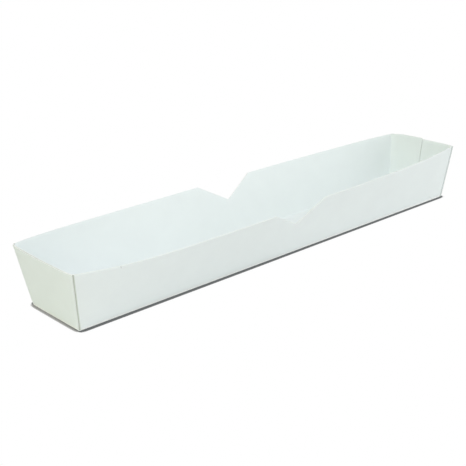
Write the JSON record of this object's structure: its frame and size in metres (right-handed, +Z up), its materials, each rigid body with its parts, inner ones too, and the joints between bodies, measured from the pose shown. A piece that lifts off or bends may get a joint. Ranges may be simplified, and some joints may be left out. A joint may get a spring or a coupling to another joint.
{
  "type": "paper food tray",
  "caption": "Long, narrow open food tray of plain white board, folded and glued, with flared walls and a V-notch in the top edge of each long wall.",
  "frame": {"origin": "middle of the flat underside, on the surface that the tray rests on", "axes": "+Z up, +X along the tray's length, +Y across it"},
  "size_m": [0.3086, 0.0704, 0.0351],
  "materials": {
    "white_board": "matte"
  },
  "bodies": {
    "root": {"folded_tray": "white_board"}
  },
  "joints": []
}
